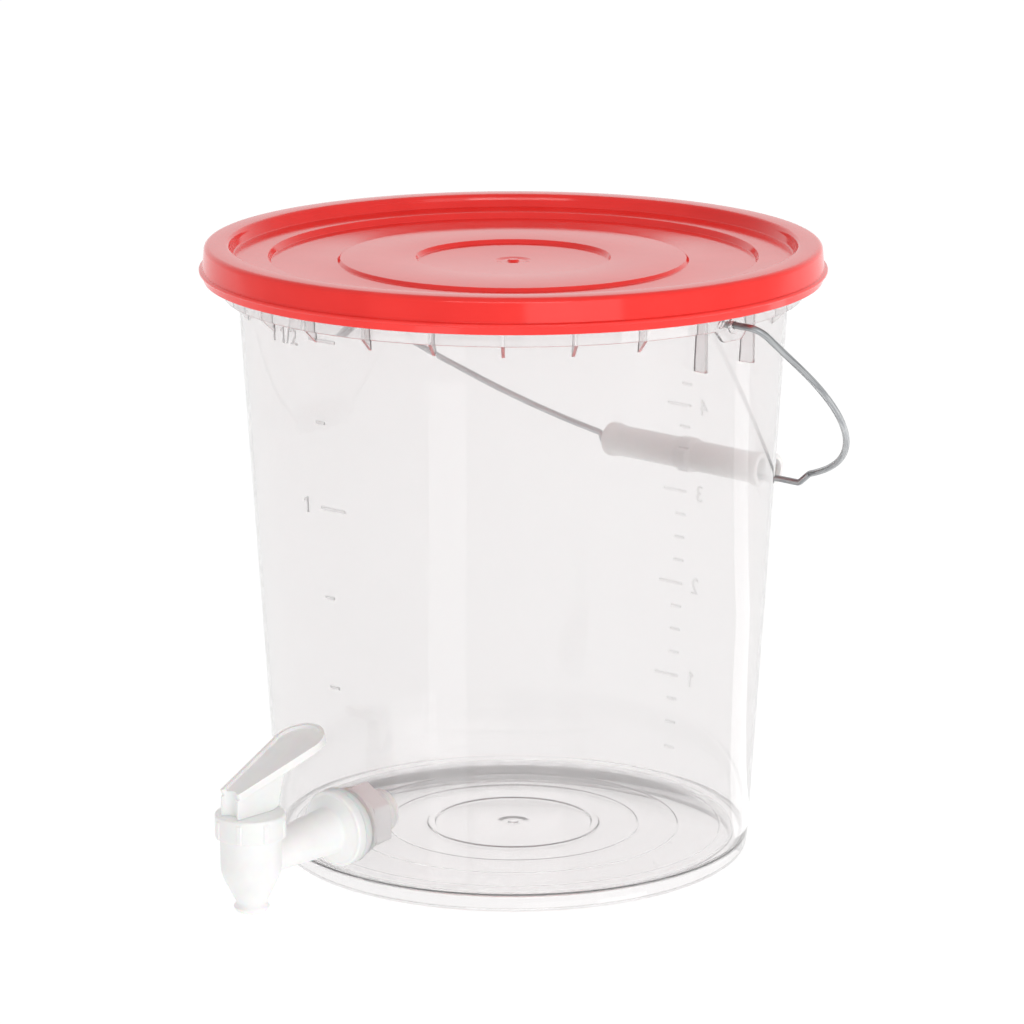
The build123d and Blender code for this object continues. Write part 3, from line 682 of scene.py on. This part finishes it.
# Galvanised steel wire: a soft grey metal with lengthwise drawing lines and cloudy patches where the
# zinc ran thicker.
zinc, tree = new_material("steel_wire_drawn_galvanised")
along = add_node(tree, "Attribute", {"attribute_name": "along_wire"}).outputs["Vector"]
line_scale = (1 / (14 * mm), 1 / (0.5 * mm), 1 / (0.5 * mm))
stretched = add_node(tree, "Mapping", inputs={"Vector": along, "Scale": line_scale})
lines = add_node(tree, "TexNoise", inputs={
    "Vector": stretched.outputs["Vector"], "Scale": 1.0, "Detail": 4.0})
patches = add_node(tree, "TexNoise", inputs={"Vector": along, "Scale": 1 / (6 * mm), "Detail": 2.0})
tone = add_node(tree, "ValToRGB", inputs={"Fac": lines.outputs["Fac"]})
tone.color_ramp.elements[0].position = 0.35
tone.color_ramp.elements[0].color = linear("#8F9194")
tone.color_ramp.elements[1].position = 0.65
tone.color_ramp.elements[1].color = linear("#BFC1C2")
dull = add_node(tree, "MapRange", inputs={
    "Value": patches.outputs["Fac"], "To Min": 0.28, "To Max": 0.45})
groove = add_node(tree, "Bump", inputs={
    "Height": lines.outputs["Fac"], "Distance": 0.03 * mm, "Strength": 0.5})
feed(tree, tree.nodes["Principled BSDF"], {
    "Metallic": 1.0,
    "Base Color": tone.outputs["Color"],
    "Roughness": dull.outputs["Result"],
    "Normal": groove.outputs["Normal"],
})
bail.data.materials.append(zinc)
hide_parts("bail_wire")
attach(bail, "bail")

# Grip: a loose tube blown or moulded in milky polyethylene, threaded on the wire before it was bent.
# It has a flared bell at each end and a soft ring round its middle.
grip_half = 42.0 * mm
grip_radius = 6.1 * mm
grip_bore = 4.3 * mm
grip_ring_radius = 6.9 * mm
grip_middle = np.array([-2.7 * mm, bail_reach, -1.2 * mm])
grip_upper = [
    ((grip_ring_radius, 0.5 * mm), 0),
    ((grip_ring_radius, 2.8 * mm), 1.6 * mm),
    ((grip_radius, 5.1 * mm), 2.4 * mm),
    ((grip_radius, 34.8 * mm), 4 * mm),
    ((grip_ring_radius, 38.8 * mm), 1.6 * mm),
    ((grip_ring_radius, grip_half), 1.1 * mm),
    ((grip_bore + 0.5 * mm, grip_half), 0.2 * mm),
    ((grip_bore, 40.4 * mm), 0.4 * mm),
    ((grip_bore, 0.5 * mm), 0),
]
grip_outline = rounded(grip_upper)
grip_loop = np.concatenate([grip_outline, grip_outline[::-1] * [1, -1]])
grip_angles = np.linspace(0, 2 * np.pi, 64, endpoint=False)
grip_grid = turned(grip_loop, grip_angles)[..., [2, 0, 1]] + grip_middle
grip = shell("bail_grip_tube", [placed(grip_grid, bail_place)], loop=True)
smooth(grip)

# Milky polyethylene, moulded: light goes a little way in and comes out again, so its edges are soft
# and its gloss is low and slightly uneven.
milky, tree = new_material("milky_polyethylene_moulded")
place = add_node(tree, "TexCoord").outputs["Object"]
flow = add_node(tree, "TexNoise", inputs={"Vector": place, "Scale": 1 / (7 * mm), "Detail": 4.0})
dull = add_node(tree, "MapRange", inputs={
    "Value": flow.outputs["Fac"], "To Min": 0.3, "To Max": 0.48})
dent = add_node(tree, "Bump", inputs={
    "Height": flow.outputs["Fac"], "Distance": 0.08 * mm, "Strength": 0.5})
tone = add_node(tree, "ValToRGB", inputs={"Fac": flow.outputs["Fac"]})
tone.color_ramp.elements[0].position = 0.3
tone.color_ramp.elements[0].color = linear("#F6F4F2")
tone.color_ramp.elements[1].position = 0.7
tone.color_ramp.elements[1].color = linear("#FBF9F8")
feed(tree, tree.nodes["Principled BSDF"], {
    "IOR": 1.52,
    "Subsurface Weight": 0.05,
    "Subsurface Scale": 2 * mm,
    "Base Color": tone.outputs["Color"],
    "Roughness": dull.outputs["Result"],
    "Normal": dent.outputs["Normal"],
})
grip.data.materials.append(milky)
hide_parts("bail_grip")
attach(grip, "grip")

# Tap body: one white polypropylene moulding. Its threaded shank goes through the wall, its flange
# stops against the outer washer, and its barrel holds the valve above the nozzle.
thread_radius = 8.0 * mm
thread_depth = 0.8 * mm
thread_pitch = 2.0 * mm
thread_length = 22.0 * mm
thread_start = -20.8 * mm
thread_end = -0.6 * mm
thread_fade = 0.8 * mm
flange_radius = 14.3 * mm
flange_face = 2.0 * mm
flange_back = 5.6 * mm
arm_end = 44.4 * mm
barrel_reach = 46.4 * mm
shank_profile = [
    ((1 * mm, -thread_length), 0),
    ((7.4 * mm, -thread_length), 0.3 * mm),
    ((thread_radius, -21.2 * mm), 0.3 * mm),
    *[((thread_radius, height), 0) for height in np.linspace(-21 * mm, -0.4 * mm, 138)],
    ((thread_radius, flange_face), 0.3 * mm),
    ((flange_radius, flange_face), 0.3 * mm),
    ((flange_radius, flange_back), 1.0 * mm),
    ((12.9 * mm, flange_back), 0.3 * mm),
    ((8.75 * mm, 7.8 * mm), 1.1 * mm),
    ((6.6 * mm, arm_end), 0),
    ((1 * mm, arm_end), 0),
]
shank_grid = turned(rounded(shank_profile), around)
turns = shank_grid[..., 2] / thread_pitch - around / (2 * np.pi)
valley = np.clip(1.5 * np.abs(2 * (turns % 1) - 1) - 0.25, 0, 1)
in_thread = np.clip((shank_grid[..., 2] - thread_start) / thread_fade, 0, 1)
in_thread *= np.clip((thread_end - shank_grid[..., 2]) / thread_fade, 0, 1)
on_thread = np.abs(np.hypot(shank_grid[..., 0], shank_grid[..., 1]) - thread_radius) < 0.02 * mm
cut = 1 - on_thread * in_thread * valley * thread_depth / thread_radius
shank_grid[..., :2] *= cut[..., None]
tap_body = shell("tap_body_white", [placed(shank_grid, shank_place)])
barrel_place = np.eye(4)
barrel_place[:3, 3] = placed(np.array([0, -barrel_reach, 0]), tap_place)
nozzle_end = -18.6 * mm
neck_radius = 10.7 * mm
neck_foot = 9.4 * mm
neck_top = 15.6 * mm
barrel_profile = rounded([
    ((1 * mm, nozzle_end), 0),
    ((5.7 * mm, nozzle_end), 0.25 * mm),
    ((6.6 * mm, -17.0 * mm), 0.55 * mm),
    ((5.5 * mm, -15.3 * mm), 1.4 * mm),
    ((11.0 * mm, -4.2 * mm), 14 * mm),
    ((11.15 * mm, neck_foot), 0.2 * mm),
    ((neck_radius, neck_foot), 0),
    ((neck_radius, neck_top), 0.5 * mm),
    ((1 * mm, neck_top), 0),
], steps=12)
barrel = shell("tap_barrel", [placed(turned(barrel_profile, around), barrel_place)])
seat_radius = 3.6 * mm
chamber_radius = 8.6 * mm
hollow_low = -19.6 * mm
hollow_high = 16.6 * mm
hollow_profile = rounded([
    ((0.5 * mm, hollow_low), 0),
    ((4.3 * mm, hollow_low), 0),
    ((seat_radius, -15.3 * mm), 0),
    ((seat_radius, -10.5 * mm), 0),
    ((chamber_radius, -3.0 * mm), 0),
    ((chamber_radius, hollow_high), 0),
    ((0.5 * mm, hollow_high), 0),
])
hollow = shell("tap_hollow", [placed(turned(hollow_profile, around), barrel_place)])
passage_radius = 4.5 * mm
passage_profile = np.array([(passage_radius, -23 * mm), (passage_radius, barrel_reach - 4 * mm)])
passage = shell("tap_passage", [placed(turned(passage_profile, around), shank_place)])
combined(tap_body, [barrel], "UNION")
combined(tap_body, [hollow, passage], "DIFFERENCE")
smooth(tap_body)

# White polypropylene, moulded satin: a clean white with a broad soft gloss and a faint spark-eroded
# grain.
white, tree = new_material("white_polypropylene_moulded")
place = add_node(tree, "TexCoord").outputs["Object"]
grain = add_node(tree, "TexNoise", inputs={"Vector": place, "Scale": 1 / (0.5 * mm), "Detail": 2.0})
flow = add_node(tree, "TexNoise", inputs={"Vector": place, "Scale": 1 / (9 * mm), "Detail": 3.0})
dull = add_node(tree, "MapRange", inputs={
    "Value": flow.outputs["Fac"], "To Min": 0.3, "To Max": 0.42})
satin = add_node(tree, "Bump", inputs={
    "Height": grain.outputs["Fac"], "Distance": 0.01 * mm, "Strength": 0.3})
tone = add_node(tree, "ValToRGB", inputs={"Fac": flow.outputs["Fac"]})
tone.color_ramp.elements[0].position = 0.3
tone.color_ramp.elements[0].color = linear("#F1F1F0")
tone.color_ramp.elements[1].position = 0.7
tone.color_ramp.elements[1].color = linear("#F6F6F5")
feed(tree, tree.nodes["Principled BSDF"], {
    "IOR": 1.49,
    "Subsurface Weight": 0.3,
    "Subsurface Scale": 1.5 * mm,
    "Base Color": tone.outputs["Color"],
    "Roughness": dull.outputs["Result"],
    "Normal": satin.outputs["Normal"],
})
tap_body.data.materials.clear()
tap_body.data.materials.append(white)
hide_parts("tap_body")
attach(tap_body, "bucket")

# Washers: two soft silicone rings, punched or moulded flat, that the nut squeezes to the wall's curve,
# one outside under the flange and one inside under the nut.
washer_bore = 8.1 * mm
outer_washer_radius = 14.4 * mm
inner_washer_radius = 13.2 * mm
washer_gap = 0.03 * mm
nut_face = -4.0 * mm


def wall_distance(x, up, offset):
    """How far out from the tap's place the wall's surface plus an offset is, at a point across and up
    from the tap's axis: the distance is corrected by the miss in radius, which soon vanishes."""
    out = 0 * x
    for _ in range(4):
        y = -wall_radius(tap_height) - out * np.cos(wall_tilt) - up * np.sin(wall_tilt)
        z = tap_height - out * np.sin(wall_tilt) + up * np.cos(wall_tilt)
        out = out - (np.hypot(x, y) - wall_radius(z) - offset)
    return out


def washer_grid(outer_radius, pressed_offset, flat_face):
    """Grid of a washer: a rectangle with rounded outer corners goes round the shank's axis. Its flat
    face is at one distance, and its pressed face follows the wall."""
    corner = 0.35 * mm
    radius = np.array([
        washer_bore, outer_radius - corner, outer_radius - 0.3 * corner, outer_radius, outer_radius,
        outer_radius - 0.3 * corner, outer_radius - corner, washer_bore])[:, None]
    inset = corner * np.array([0, 0, 0.3, 1, 1, 0.3, 0, 0])[:, None]
    pressed_side = np.array([1, 1, 1, 1, 0, 0, 0, 0])[:, None]
    x = radius * np.cos(around)
    up = radius * np.sin(around)
    pressed = wall_distance(x, up, pressed_offset)
    inward = np.sign(flat_face - pressed)
    out = np.where(pressed_side == 1, pressed + inward * inset, flat_face - inward * inset)
    return placed(np.stack([x, up, out], axis=-1), shank_place)


outer_grid = washer_grid(outer_washer_radius, washer_gap, flange_face)
inner_grid = washer_grid(inner_washer_radius, -wall - washer_gap, nut_face)
outer_washer = shell("tap_washer_outer", [outer_grid], loop=True)
inner_washer = shell("tap_washer_inner", [inner_grid], loop=True)

# Silicone rubber, moulded: matt, pale and slightly see-through at the edges.
silicone, tree = new_material("silicone_rubber_moulded")
place = add_node(tree, "TexCoord").outputs["Object"]
bloom = add_node(tree, "TexNoise", inputs={"Vector": place, "Scale": 1 / (1.2 * mm), "Detail": 4.0})
dull = add_node(tree, "MapRange", inputs={
    "Value": bloom.outputs["Fac"], "To Min": 0.4, "To Max": 0.6})
skin = add_node(tree, "Bump", inputs={
    "Height": bloom.outputs["Fac"], "Distance": 0.02 * mm, "Strength": 0.4})
feed(tree, tree.nodes["Principled BSDF"], {
    "Base Color": linear("#F0F0EE"),
    "IOR": 1.41,
    "Transmission Weight": 0.15,
    "Subsurface Weight": 0.6,
    "Subsurface Scale": 2 * mm,
    "Roughness": dull.outputs["Result"],
    "Normal": skin.outputs["Normal"],
})
for washer, node in ((outer_washer, "tap_outer_washer"), (inner_washer, "tap_inner_washer")):
    smooth(washer)
    washer.data.materials.append(silicone)
    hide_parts(node)
    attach(washer, "bucket")

# Nut: a hexagon with a round collar, moulded in uncoloured polypropylene and screwed on the shank
# inside the bucket.
nut_bore = 8.06 * mm
nut_flat = 11.5 * mm
nut_collar = 13.0 * mm
nut_collar_end = -1.8 * mm
nut_end = -10.0 * mm
nut_corner = 1.135
nut_profile = rounded([
    ((nut_bore, -1 * mm), 0),
    ((nut_bore, 0), 0.3 * mm),
    ((nut_collar, 0), 0.4 * mm),
    ((nut_collar, nut_collar_end), 0.4 * mm),
    ((nut_flat, nut_collar_end), 0.2 * mm),
    ((nut_flat, nut_end), 0.5 * mm),
    ((nut_bore, nut_end), 0.4 * mm),
    ((nut_bore, -9.0 * mm), 0),
])
nut_angles = np.linspace(0, 2 * np.pi, 144, endpoint=False)
nut_grid = turned(nut_profile, nut_angles)
from_flat = (nut_angles + np.pi / 6) % (np.pi / 3) - np.pi / 6
corner_share = np.minimum(1 / np.cos(from_flat), nut_corner)
hexagon_radii = (nut_flat - 0.6 * mm, 12.0 * mm)
hexagon_start = -1.75 * mm
on_hexagon = (nut_profile[:, :1] > hexagon_radii[0]) & (nut_profile[:, :1] < hexagon_radii[1])
on_hexagon = on_hexagon & (nut_profile[:, 1:] < hexagon_start)
nut_grid[..., :2] *= np.where(on_hexagon, corner_share, 1)[..., None]
nut_grid[..., 2] += nut_face
nut = shell("tap_nut_pale", [placed(nut_grid, shank_place)], loop=True)
smooth(nut)

# Uncoloured polypropylene, moulded thick: it scatters nearly all light inside, so it looks like pale
# milk glass with cloudy flow in it.
uncoloured, tree = new_material("uncoloured_polypropylene_moulded")
place = add_node(tree, "TexCoord").outputs["Object"]
flow = add_node(tree, "TexNoise", inputs={"Vector": place, "Scale": 1 / (5 * mm), "Detail": 4.0})
haze = add_node(tree, "MapRange", inputs={
    "Value": flow.outputs["Fac"], "To Min": 0.35, "To Max": 0.55})
feed(tree, tree.nodes["Principled BSDF"], {
    "Base Color": linear("#FBFAFA"),
    "Transmission Weight": 0.1,
    "IOR": 1.49,
    "Roughness": haze.outputs["Result"],
})
nut.data.materials.append(uncoloured)
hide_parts("tap_nut")
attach(nut, "bucket")

# Valve: a stem with two moulded trunnions hangs in the lever, a silicone cup on its foot closes the
# seat, and a small coil spring under the bonnet presses it down.
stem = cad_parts["tap_stem"]
stem.data.materials.clear()
stem.data.materials.append(white)
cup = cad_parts["valve_seat_cup"]
cup.data.materials.clear()
cup.data.materials.append(silicone)
spring_radius = 4.6 * mm
spring_wire = 0.4 * mm
spring_low = 8.85 * mm
spring_high = 15.95 * mm
spring_turns = 4
bonnet_under = 16.4 * mm
turn = np.linspace(0, 1, 193)
spring_path = np.stack([
    spring_radius * np.cos(2 * np.pi * spring_turns * turn),
    spring_radius * np.sin(2 * np.pi * spring_turns * turn),
    spring_low + (spring_high - spring_low) * turn], axis=-1)
spring_grid = wire_tube(spring_path, upward, spring_wire, 16)
spring = shell("stem_spring_coil", [placed(spring_grid, barrel_place)])
smooth(spring, 50)

# Spring steel, drawn: a bright wire with fine lengthwise lines.
steel, tree = new_material("spring_steel_drawn")
place = add_node(tree, "TexCoord").outputs["Object"]
lines = add_node(tree, "TexNoise", inputs={"Vector": place, "Scale": 1 / (0.4 * mm), "Detail": 3.0})
dull = add_node(tree, "MapRange", inputs={
    "Value": lines.outputs["Fac"], "To Min": 0.2, "To Max": 0.35})
feed(tree, tree.nodes["Principled BSDF"], {
    "Base Color": linear("#C4C4C2"),
    "Metallic": 1.0,
    "Roughness": dull.outputs["Result"],
})
spring.data.materials.append(steel)
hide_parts("stem_spring")
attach(spring, "bucket")
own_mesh(spring)

# Bonnet: a white cap moulded like the body and screwed on the barrel's neck, with eight low ribs for
# the fingers and a hole for the stem.
bonnet_radius = 12.85 * mm
bonnet_bore = 10.8 * mm
bonnet_top = 18.2 * mm
stem_hole = 2.7 * mm
rib_rise = 0.4 * mm
rib_top_end = 16.7 * mm
rib_first_angle = np.radians(27.5)
rib_half_angle = np.radians(4.75)
rib_slope_angle = np.radians(1.5)
bonnet_profile = rounded([
    ((bonnet_bore, 10.2 * mm), 0),
    ((bonnet_bore, neck_foot), 0.2 * mm),
    ((bonnet_radius, neck_foot), 0.4 * mm),
    *[((bonnet_radius, height), 0) for height in np.linspace(10 * mm, 17 * mm, 29)],
    ((bonnet_radius, bonnet_top), 0.8 * mm),
    ((stem_hole, bonnet_top), 0.2 * mm),
    ((stem_hole, bonnet_under), 0),
    ((bonnet_bore, bonnet_under), 0),
])
bonnet_angles = np.linspace(0, 2 * np.pi, 480, endpoint=False)
bonnet_grid = turned(bonnet_profile, bonnet_angles)
from_rib = np.abs((bonnet_angles - rib_first_angle + np.pi / 8) % (np.pi / 4) - np.pi / 8)
on_rib = np.clip((rib_half_angle - from_rib) / rib_slope_angle, 0, 1)
below_top = np.clip((rib_top_end - bonnet_grid[..., 2]) / (0.5 * mm), 0, 1)
on_side = np.hypot(bonnet_grid[..., 0], bonnet_grid[..., 1]) > bonnet_radius - 0.01 * mm
bonnet_grid[..., :2] *= (1 + on_side * on_rib * below_top * rib_rise / bonnet_radius)[..., None]
bonnet = shell("tap_bonnet_white", [placed(bonnet_grid, barrel_place)], loop=True)
smooth(bonnet)
bonnet.data.materials.append(white)
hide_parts("tap_bonnet")
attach(bonnet, "bucket")

# Lever: one white moulding that stands on the bonnet on two cheeks with a rolled heel. Its paddle is
# dished for the thumb, and a groove between two prongs clears the stem at the front.
lever_round = 0.35 * mm
lever_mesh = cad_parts["tap_lever"].data.copy()
solid = bmesh.new()
solid.from_mesh(lever_mesh)
bmesh.ops.remove_doubles(solid, verts=solid.verts, dist=0.005 * mm)
bmesh.ops.dissolve_limit(solid, angle_limit=np.radians(1), verts=solid.verts, edges=solid.edges)
crisp = [edge for edge in solid.edges if edge.calc_face_angle(0) > np.radians(40)]
bmesh.ops.bevel(
    solid, geom=crisp, offset=lever_round, segments=3, profile=0.5, affect="EDGES", clamp_overlap=True)
solid.to_mesh(lever_mesh)
solid.free()
lever = bpy.data.objects.new("tap_lever_white", lever_mesh)
bpy.context.collection.objects.link(lever)
smooth(lever)
# Normals weighted by area keep the large faces flat. With no tools, combined leaves them in the mesh.
level_faces = lever.modifiers.new("level_faces", "WEIGHTED_NORMAL")
level_faces.keep_sharp = True
combined(lever, [], "UNION")
lever.data.materials.clear()
lever.data.materials.append(white)
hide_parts("tap_lever")
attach(lever, "lever")

# Studio: a white paper floor and backdrop in a dimmer room, a wide soft box above the camera, two fill
# boxes without shadows on the right, and the camera at the photograph's angle.
floor_half = 10.0
floor_mesh = bpy.data.meshes.new("studio_floor")
floor_corners = floor_half * np.array([(-1, -1, 0), (1, -1, 0), (1, 1, 0), (-1, 1, 0)])
floor_mesh.from_pydata(floor_corners.tolist(), [], [(0, 1, 2, 3)])
floor = bpy.data.objects.new("studio_floor", floor_mesh)
bpy.context.collection.objects.link(floor)
paper, tree = new_material("white_paper_sweep")
tree.nodes.remove(tree.nodes["Principled BSDF"])
shaded = add_node(tree, "BsdfDiffuse", inputs={"Color": (0.2, 0.2, 0.2, 1)})
bright = add_node(tree, "Emission", inputs={"Color": (1, 1, 1, 1), "Strength": 0.9})
lit = add_node(tree, "AddShader", inputs={0: shaded.outputs[0], 1: bright.outputs[0]})
tree.links.new(lit.outputs[0], tree.nodes["Material Output"].inputs["Surface"])
floor_mesh.materials.append(paper)

# Two strips of light lie on the floor beside the bucket, out of the camera's sight. The wall leans out,
# so it mirrors the floor, and each strip gives it one upright streak.
strip_outlines = mm * np.array([
    [(36, -104, 1), (58, -335, 1), (123, -686, 1), (294, -624, 1), (144, -307, 1), (56, -96, 1)],
    [(81, 61, 1), (165, 318, 1), (442, 645, 1), (325, 738, 1), (80, 357, 1), (46, 82, 1)]])
strip_mesh = bpy.data.meshes.new("light_strips")
strip_mesh.from_pydata(strip_outlines.reshape(-1, 3).tolist(), [], [range(6), range(6, 12)])
strips = bpy.data.objects.new("light_strips", strip_mesh)
strips.visible_camera = False
strips.visible_transmission = False
strips.visible_diffuse = False
bpy.context.collection.objects.link(strips)
glow, tree = new_material("light_strip")
tree.nodes.remove(tree.nodes["Principled BSDF"])
bright = add_node(tree, "Emission", inputs={"Color": (1, 1, 1, 1), "Strength": 1.8})
tree.links.new(bright.outputs[0], tree.nodes["Material Output"].inputs["Surface"])
strip_mesh.materials.append(glow)

# The backdrop is white round the direction in which the photograph looks and the room beside it is
# dimmer, but straight or through clear plastic all of it is seen as white.
world = bpy.data.worlds.new("white_studio")
bpy.context.scene.world = world
world.use_nodes = True
tree = world.node_tree
backdrop_way = (-0.669, 0.705, -0.235)
rays = add_node(tree, "LightPath").outputs
larger = {"operation": "MAXIMUM"}
shown = add_node(tree, "Math", larger, {0: rays["Is Camera Ray"], 1: rays["Is Transmission Ray"]})
coming = add_node(tree, "NewGeometry").outputs["Incoming"]
away = add_node(tree, "VectorMath", {"operation": "DOT_PRODUCT"}, {0: coming, 1: backdrop_way})
room = add_node(tree, "MapRange", inputs={
    "Value": away.outputs["Value"], "From Min": -0.4, "From Max": -0.75, "To Min": 0.6, "To Max": 1.0})
strength = add_node(tree, "Math", larger, {0: shown.outputs[0], 1: room.outputs["Result"]})
tree.links.new(strength.outputs[0], tree.nodes["Background"].inputs["Strength"])
tree.nodes["Background"].inputs["Color"].default_value = (1, 1, 1, 1)

bucket_middle = np.array([0, 0, 0.12])


def soft_box(name, where, size, power, shadow=True):
    """Area lamp of a width and height at a place, facing the middle of the bucket."""
    lamp = bpy.data.lights.new(name, "AREA")
    lamp.shape = "RECTANGLE"
    lamp.size, lamp.size_y = size
    lamp.energy = power
    lamp.use_shadow = shadow
    box = bpy.data.objects.new(name, lamp)
    bpy.context.collection.objects.link(box)
    aim = bucket_middle - np.array(where)
    flat = np.hypot(aim[0], aim[1])
    box.location = where
    box.rotation_euler = (np.pi / 2 + np.arctan2(aim[2], flat), 0, np.arctan2(-aim[0], aim[1]))
    return box


soft_box("front_box", where=(1.25, -1.45, 0.98), size=(1.6, 0.25), power=4.0)
soft_box("fill_box", where=(1.7, -0.8, 0.65), size=(1.2, 1.0), power=4.0, shadow=False)
side_box = soft_box("side_box", where=(0.8, 0.1, 0.3), size=(0.4, 0.4), power=1.4, shadow=False)
side_box.visible_glossy = False

view = bpy.data.cameras.new("photograph_view")
view.lens = 154.97
view.sensor_width = 36.0
view.shift_x = -0.00137
camera = bpy.data.objects.new("photograph_view", view)
camera.location = (1.1113, -1.1710, 0.5176)
camera.rotation_euler = (np.radians(76.47), 0, np.radians(43.5))
bpy.context.collection.objects.link(camera)
bpy.context.scene.camera = camera
bpy.context.scene.view_settings.view_transform = "Standard"
